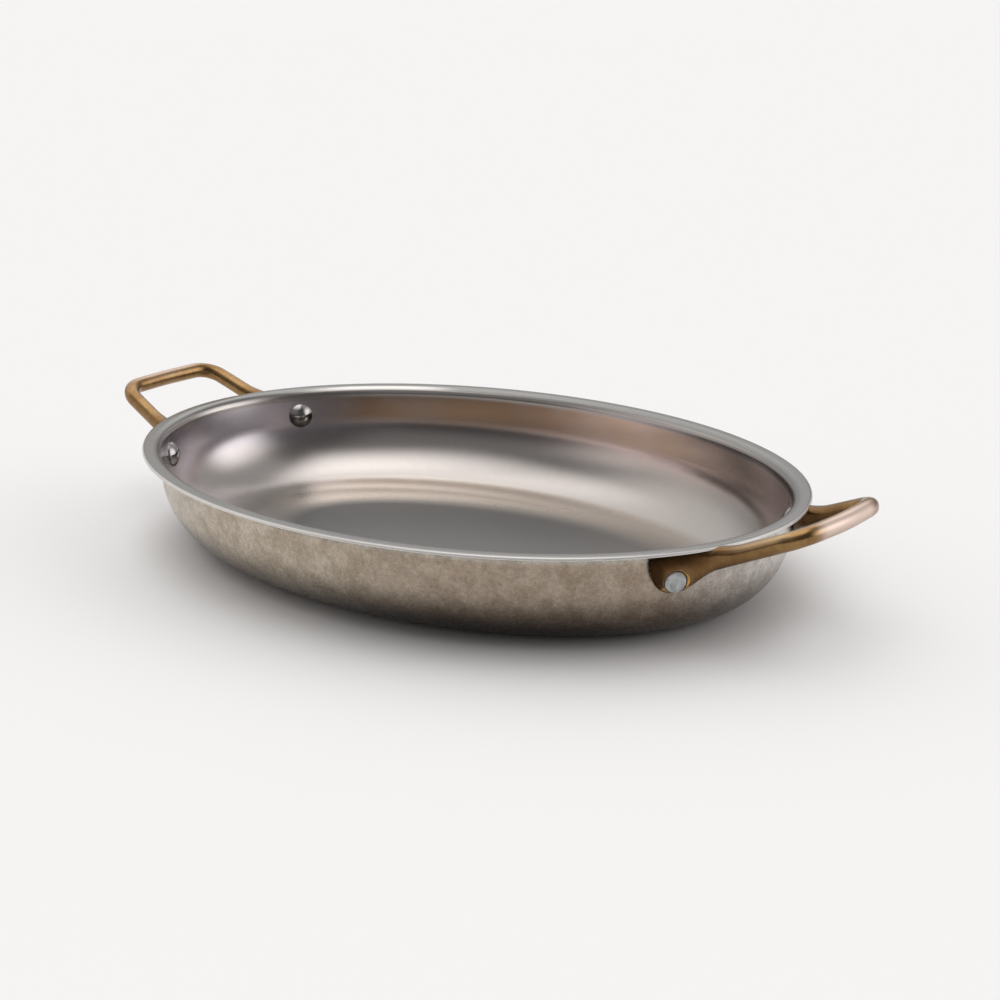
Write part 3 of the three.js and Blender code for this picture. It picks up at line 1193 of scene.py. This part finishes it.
@dataclass(frozen=True, kw_only=True)
class OuterFinish(Finish):
    """Tumbled steel of the outer wall: warm along the sides, greyer at the ends with painted light, and
    darker on the right half and round the base with painted shade; painted light lies in a band just under
    the flange.
    """

    # The ends' greyer tone, lightened with painted light for the brighter reflections at the ends.
    end_colour: Colour
    # Painted shade: the darker colour on the right half of the outer wall.
    dull: Colour
    # Painted shade: multiplied over the lower wall towards the base, standing in for the reflected shadow
    # under the dish, and weaker at the ends.
    foot: Colour
    end_foot_painted_shade: Colour
    # Painted light: a band just under the flange, standing in for light on the wall where the flange's shade
    # darkens it.
    painted_light_under_flange: Colour
    left_end: Range = mm(-88.0, -117.0)
    right_end: Range = mm(101.0, 119.0)
    painted_shade_places: Range = mm(-5.0, 60.0)
    foot_heights: Range = mm(18.0, 4.5)
    left_foot: Range = mm(38.0, -5.0)
    right_foot: Range = mm(80.0, 100.0)
    eave_heights: Range = mm(28.0, 29.2)

    def material(self) -> Material:
        """Makes the finish's material.

        Returns:
            The material, which cools and lightens towards the ends with painted light and darkens towards the
            base and on the right half with painted shade.
        """
        graph = MetalGraph(self)
        x, _, z = graph.axes()
        ends = graph.most(graph.ease(x, self.left_end), graph.ease(x, self.right_end))
        # Painted shade over the right half.
        colour = graph.mix(graph.ease(x, self.painted_shade_places), self.colour, self.dull)
        # The greyer ends, with painted light.
        colour = graph.mix(ends, colour, self.end_colour)
        # The band of painted light just under the flange.
        colour = graph.mix(graph.ease(z, self.eave_heights), colour, self.painted_light_under_flange)
        foot_ends = graph.most(graph.ease(x, self.left_foot), graph.ease(x, self.right_foot))
        # The painted shade towards the base, weaker at the ends.
        foot = graph.mix(foot_ends, self.foot, self.end_foot_painted_shade)
        low = graph.ease(z, self.foot_heights)
        return graph.shaded(graph.mix(low, graph.marked(colour), foot, "MULTIPLY"))


@dataclass(frozen=True, kw_only=True)
class BronzeFinish(Finish):
    """Cast bronze with a brown patina, pale on the grips with hand polish and painted highlight, with a
    painted highlight on one arm and painted shade on the lugs under the rim.
    """

    # Hand polish and painted highlight: the pale colour of the grips.
    hand_polish_and_sheen: Colour
    # Painted highlight: a paler colour on the up-facing edge of the right handle's near arm.
    arm_painted_highlight: Colour
    # Painted shade: multiplied over the lugs and the arms near the wall, under the rim.
    lug: Colour
    # Painted shade: multiplied over the lugs' tops under the flange and over their tips.
    recess_painted_shade: Colour
    right_grip: Range = mm(139.0, 141.8)
    right_grip_ends: Range = mm(17.0, 10.0)
    left_grip: Range = mm(-137.5, -141.5)
    left_grip_ends: Range = mm(30.0, 20.0)
    left_grip_share: float = 0.75
    under_facing: Range = (-0.6, 0.2)
    underside_share: float = 0.55
    worn_roughness: float = 0.4
    arm_rise: Range = mm(114.0, 126.0)
    arm_fall: Range = mm(139.0, 133.0)
    near_places: Range = mm(4.0, -4.0)
    edge_facing: Range = (0.15, 0.6)
    arm_highlight_strength: float = 0.7
    right_lug: Range = mm(136.0, 116.0)
    left_lug: Range = mm(-124.0, -112.0)
    recess_places: Range = mm(116.0, 109.0)
    recess_heights: Range = mm(25.0, 29.5)
    tip_places: Range = mm(34.6, 37.3)
    tip_roughness: float = 0.6

    def grip_and_arm_masks(self, graph: Graph) -> tuple[Socket, Socket]:
        """Masks of the grips' hand polish and painted highlight, and of the painted highlight on one arm.

        Args:
            graph: The material's graph.

        Returns:
            A mask of the grips' polish and painted highlight, weaker on faces that look down, and one of the
            painted highlight on the upper edge of the right handle's near arm.
        """
        x, y, _ = graph.axes()
        aside = graph.size(y)
        facing_up = graph.dot(graph.add("TexCoord").outputs["Normal"], UP)
        # Less of the grips' pale colour on faces that look down, since the painted highlight follows how
        # light falls.
        under = graph.span(graph.ease(facing_up, self.under_facing), (self.underside_share, 1.0))
        right = graph.times(graph.where((x, self.right_grip), (aside, self.right_grip_ends)), under)
        left = graph.times(graph.where((x, self.left_grip), (aside, self.left_grip_ends)), self.left_grip_share)
        near_arm = graph.where((x, self.arm_rise), (x, self.arm_fall), (y, self.near_places))
        # Painted highlight on faces that look up.
        edge = graph.times(graph.ease(facing_up, self.edge_facing), self.arm_highlight_strength)
        return graph.most(right, left), graph.times(near_arm, edge)

    def material(self) -> Material:
        """Makes the finish's material.

        Returns:
            The material, paler along the grip with hand polish and painted highlight, paler on one arm with
            painted highlight, and darker on the lugs and their upper edges with painted shade.
        """
        graph = MetalGraph(self)
        x, y, z = graph.axes()
        grip, edge = self.grip_and_arm_masks(graph)
        # The painted highlight on the near arm's upper edge.
        colour = graph.mix(edge, graph.marked(self.colour), self.arm_painted_highlight)
        # The grips' hand polish and painted highlight.
        colour = graph.mix(grip, colour, self.hand_polish_and_sheen)
        lug = graph.where((x, self.right_lug), (x, self.left_lug))
        # Painted shade on the lugs and the arms near the wall.
        colour = graph.mix(lug, colour, self.lug, "MULTIPLY")
        # Painted shade at the lugs' tops under the flange and at their tips.
        recess_painted_shade = graph.where((z, self.recess_heights), (graph.size(x), self.recess_places))
        dark = graph.most(recess_painted_shade, graph.ease(graph.size(y), self.tip_places))
        colour = graph.mix(dark, colour, self.recess_painted_shade, "MULTIPLY")
        roughness = graph.blend(grip, graph.roughness(), self.worn_roughness)
        return graph.shaded(colour, graph.blend(dark, roughness, self.tip_roughness))


# The hollow's colours: the base's dark grey is painted shade, the pale ring colour a painted reflection, the
# far and back colours painted shade and painted light, and the end colours a violet tint with painted light.
INSIDE_STEEL = HollowFinish(
    name="half_polished_steel", colour=(0.43, 0.405, 0.387), stain=(0.92, 0.9, 0.88), roughness=(0.16, 0.2),
    metallic=1.0, mark_scale=55.0, stain_amount=0.1, scratch_amount=0.01, relief=0.0002 * MM,
    base_colour=(0.16, 0.164, 0.165), base_roughness=(0.33, 0.38), base_metallic=0.85,
    painted_reflection_colour=(0.88, 0.81, 0.72), ring_roughness=(0.2, 0.24),
    end_colour=(0.52, 0.487, 0.52), end_roughness=(0.24, 0.27),
    right_end_painted_light=(0.84, 0.74, 0.75), far_painted_shade=(0.31, 0.293, 0.28),
    shade=(0.21, 0.192, 0.19), back_right_painted_light=(0.6, 0.5, 0.47),
    copper=(0.25, 0.172, 0.118), rust=(0.58, 0.44, 0.335),
)
RIM_STEEL = RimFinish(
    name="plain_steel", colour=(0.228, 0.228, 0.222), stain=(0.92, 0.92, 0.92), roughness=(0.24, 0.28),
    metallic=1.0, mark_scale=60.0, stain_amount=0.06, scratch_amount=0.03, relief=0.0003 * MM,
    # The flange's pale edge colour is painted light, and a painted highlight on a stretch of its bend.
    edge=(0.72, 0.705, 0.685), edge_roughness=0.5,
)
# The outer wall's darker right-half and lower-wall colours are painted shade; the paler end and flange-band
# colours hold painted light.
OUTSIDE_STEEL = OuterFinish(
    name="tumbled_steel", colour=(0.53, 0.46, 0.375), stain=(0.7, 0.67, 0.63), roughness=(0.22, 0.32),
    metallic=1.0, mark_scale=150.0, stain_amount=0.85, scratch_amount=0.05, relief=0.004 * MM,
    end_colour=(0.62, 0.595, 0.58), dull=(0.385, 0.315, 0.25),
    foot=(0.19, 0.168, 0.168), end_foot_painted_shade=(0.48, 0.455, 0.46), painted_light_under_flange=(0.43, 0.39, 0.335),
)
# The bronze's pale grip colour is hand polish with a painted highlight, its paler arm colour a painted
# highlight, and its lug colours painted shade.
BRONZE = BronzeFinish(
    name="patinated_bronze", colour=(0.29, 0.177, 0.075), stain=(0.62, 0.52, 0.42), roughness=(0.2, 0.3),
    metallic=1.0, mark_scale=160.0, stain_amount=0.5, scratch_amount=0.04, relief=0.004 * MM,
    hand_polish_and_sheen=(0.73, 0.585, 0.505), arm_painted_highlight=(0.5, 0.37, 0.22), lug=(0.66, 0.62, 0.62), recess_painted_shade=(0.3, 0.26, 0.24),
)
BARE_BRONZE = Finish(
    name="bare_bronze", colour=(0.66, 0.38, 0.12), stain=(0.7, 0.6, 0.5), roughness=(0.25, 0.35),
    metallic=0.95, mark_scale=300.0, stain_amount=0.4, scratch_amount=0.05, relief=0.004 * MM,
)
POLISHED_RIVET = Finish(
    name="polished_rivet_steel", colour=(0.35, 0.34, 0.335), stain=(0.8, 0.75, 0.68), roughness=(0.08, 0.16),
    metallic=1.0, mark_scale=300.0, stain_amount=0.3, scratch_amount=0.05, relief=0.002 * MM,
)
DULL_RIVET = Finish(
    name="dull_rivet_steel", colour=(0.5, 0.52, 0.53), stain=(0.55, 0.55, 0.55), roughness=(0.45, 0.65),
    metallic=0.6, mark_scale=500.0, stain_amount=0.8, scratch_amount=0.1, relief=0.03 * MM,
)


@dataclass(frozen=True)
class SoftPanel:
    """A wide glowing panel far off, whose light fades towards its edges.

    Each edge is a range over which light comes up, given as slopes from the panel's middle: how far
    sideways or up a place lies for each step towards the panel.
    """

    bearing: float
    climb: float
    light: Colour
    left: Range
    right: Range
    lower: Range
    upper: Range
    least_ahead: float = 0.03

    def weight(self, graph: Graph, direction: Feed) -> Socket:
        """How much of the panel shows in a direction.

        Args:
            graph: The world's graph.
            direction: The direction looked in.

        Returns:
            A value that is 1 on the panel and 0 beside it.
        """
        bearing, climb = math.radians(self.bearing), math.radians(self.climb)
        level = Vector((math.cos(bearing), math.sin(bearing), 0.0))
        side = Vector((math.sin(bearing), -math.cos(bearing), 0.0))
        axis = level * math.cos(climb) + UP * math.sin(climb)
        ahead = graph.most(graph.dot(direction, axis), self.least_ahead)
        across = graph.math("DIVIDE", graph.dot(direction, side), ahead)
        up = graph.math("DIVIDE", graph.dot(direction, side.cross(axis)), ahead)
        return graph.where((across, self.left), (across, self.right), (up, self.lower), (up, self.upper))


OVERHEAD_PANEL = SoftPanel(
    bearing=136.0, climb=90.0, light=(2.24, 2.18, 2.15),
    left=(-1.12, -0.04), right=(0.405, 0.075), lower=(-0.93, 0.01), upper=(0.915, 0.045),
)
RIGHT_PANEL = SoftPanel(
    bearing=30.0, climb=12.0, light=(1.95, 1.9, 1.89),
    left=(-0.75, -0.09), right=(0.71, 0.13), lower=(-0.75, -0.25), upper=(0.835, 0.125),
)
LEFT_PANEL = SoftPanel(
    bearing=-147.0, climb=14.0, light=(0.73, 0.69, 0.67),
    left=(-0.725, -0.175), right=(0.82, 0.1), lower=(-0.65, -0.15), upper=(0.55, 0.03),
)
HIGH_BACK_PANEL = SoftPanel(
    bearing=156.0, climb=45.0, light=(1.2, 1.17, 1.145),
    left=(-1.455, -0.385), right=(1.485, 0.475), lower=(-0.615, 0.075), upper=(0.595, 0.085),
)
LOW_BACK_PANEL = SoftPanel(
    bearing=150.0, climb=18.0, light=(0.56, 0.55, 0.54),
    left=(-1.05, -0.35), right=(0.85, 0.15), lower=(-0.5, -0.1), upper=(0.6, 0.1),
)
RIGHT_BACK_PANEL = SoftPanel(
    bearing=80.0, climb=40.0, light=(0.43, 0.42, 0.42),
    left=(-1.295, -0.485), right=(1.37, 0.57), lower=(-1.0, -0.4), upper=(1.06, 0.54),
)
FRONT_PANEL = SoftPanel(
    bearing=-95.0, climb=38.0, light=(0.17, 0.17, 0.17),
    left=(-1.0, -0.4), right=(1.03, 0.43), lower=(-0.69, -0.17), upper=(0.8, 0.2),
)


@dataclass(frozen=True)
class PhotoCamera:
    """The camera, placed and turned as the photograph was taken."""

    position: Triple = (0.42224, -0.47307, 0.21733)
    forward: Triple = (-0.62142, 0.72386, -0.29978)
    right: Triple = (0.76329, 0.64564, -0.02325)
    lens: float = 74.83
    sensor: float = 36.0

    def build(self) -> None:
        """Adds the camera and makes it the scene's own."""
        data = bpy.data.cameras.new("camera")
        data.sensor_width = self.sensor
        data.lens = self.lens
        camera = bpy.data.objects.new("camera", data)
        bpy.context.collection.objects.link(camera)
        forward, right = Vector(self.forward), Vector(self.right)
        turn = Matrix((right, right.cross(forward), -forward)).transposed()
        camera.matrix_world = Matrix.Translation(self.position) @ turn.to_4x4()
        bpy.context.scene.camera = camera


@dataclass
class Studio:
    """A pale floor and a dim room with soft panels round it."""

    floor_size: float = 80.0
    floor_drop: float = 0.2 * MM
    floor_colour: Colour = (0.905, 0.917, 0.922)
    room: Colour = (0.13, 0.125, 0.125)
    dark: Colour = (0.0, 0.0, 0.0)
    panels: tuple[SoftPanel, ...] = (
        OVERHEAD_PANEL, RIGHT_PANEL, LEFT_PANEL, HIGH_BACK_PANEL, LOW_BACK_PANEL, RIGHT_BACK_PANEL,
        FRONT_PANEL,
    )

    def add_floor(self) -> None:
        """Lays a plain pale floor under the dish."""
        deselect_all()
        bpy.ops.mesh.primitive_plane_add(size=self.floor_size, location=(0.0, 0.0, -self.floor_drop))
        floor = bpy.context.object
        floor.name = "floor"
        made = bpy.data.materials.new("pale_floor")
        made.use_nodes = True
        graph = Graph(made.node_tree)
        shader = graph.add("BsdfDiffuse", {"Color": self.floor_colour})
        graph.add("OutputMaterial", {"Surface": shader.outputs[0]})
        fill_slots(floor, made)

    def add_light(self) -> None:
        """Lights the dish from the room and its soft panels."""
        world = bpy.data.worlds.new("soft_studio")
        world.use_nodes = True
        graph = Graph(world.node_tree)
        direction = graph.add("TexCoord").outputs["Generated"]
        light: Feed = self.room
        for panel in self.panels:
            shown = graph.mix(panel.weight(graph, direction), self.dark, panel.light)
            light = graph.mix(1.0, light, shown, "ADD")
        glow = graph.add("Background", {"Color": light, "Strength": 1.0})
        graph.add("OutputWorld", {"Surface": glow.outputs[0]})
        bpy.context.scene.world = world
        bpy.context.scene.view_settings.view_transform = "Standard"


def main() -> None:
    """Builds the dish, its studio and its camera."""
    logging.basicConfig(level=logging.INFO)
    low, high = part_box("dish_shell")
    size = high - low
    shell = DishShell(length=size.x, width=size.y, height=size.z)
    piece = shell.build()
    shell.dress(piece, INSIDE_STEEL.material(), RIM_STEEL.material(), OUTSIDE_STEEL.material())
    shell.thicken(piece)
    ride_as(piece, "dish_shell")
    LOG.info("shell: %d faces", len(piece.data.polygons))

    seat = RivetSeat(shell)
    handle = LoopHandle(seat)
    master = handle.build()
    handle.dress(master, BRONZE.material(), BARE_BRONZE.material())
    for end, node in ((End.RIGHT, "handle_right"), (End.LEFT, "handle_left")):
        copy = handle.copy_to(master, end)
        copy.name = node.replace("handle", "loop")
        ride_as(copy, node)
        LOG.info("%s: %d faces", copy.name, len(copy.data.polygons))
    bpy.data.objects.remove(master)

    angles = {
        "rivet_right_back": seat.angle,
        "rivet_left_back": math.pi - seat.angle,
        "rivet_left_front": math.pi + seat.angle,
        "rivet_right_front": -seat.angle,
    }
    rivet = Rivet(sheet=shell.sheet)
    polish, dull = POLISHED_RIVET.material(), DULL_RIVET.material()
    for node, angle in angles.items():
        piece = rivet.build()
        rivet.dress(piece, polish, dull)
        piece.name = node.replace("rivet", "stud")
        settle(piece, seat.place(angle))
        smooth(piece)
        ride_as(piece, node)
        LOG.info("%s: %d faces", piece.name, len(piece.data.polygons))

    studio = Studio()
    studio.add_floor()
    studio.add_light()
    PhotoCamera().build()


if __name__ == "__main__":
    main()
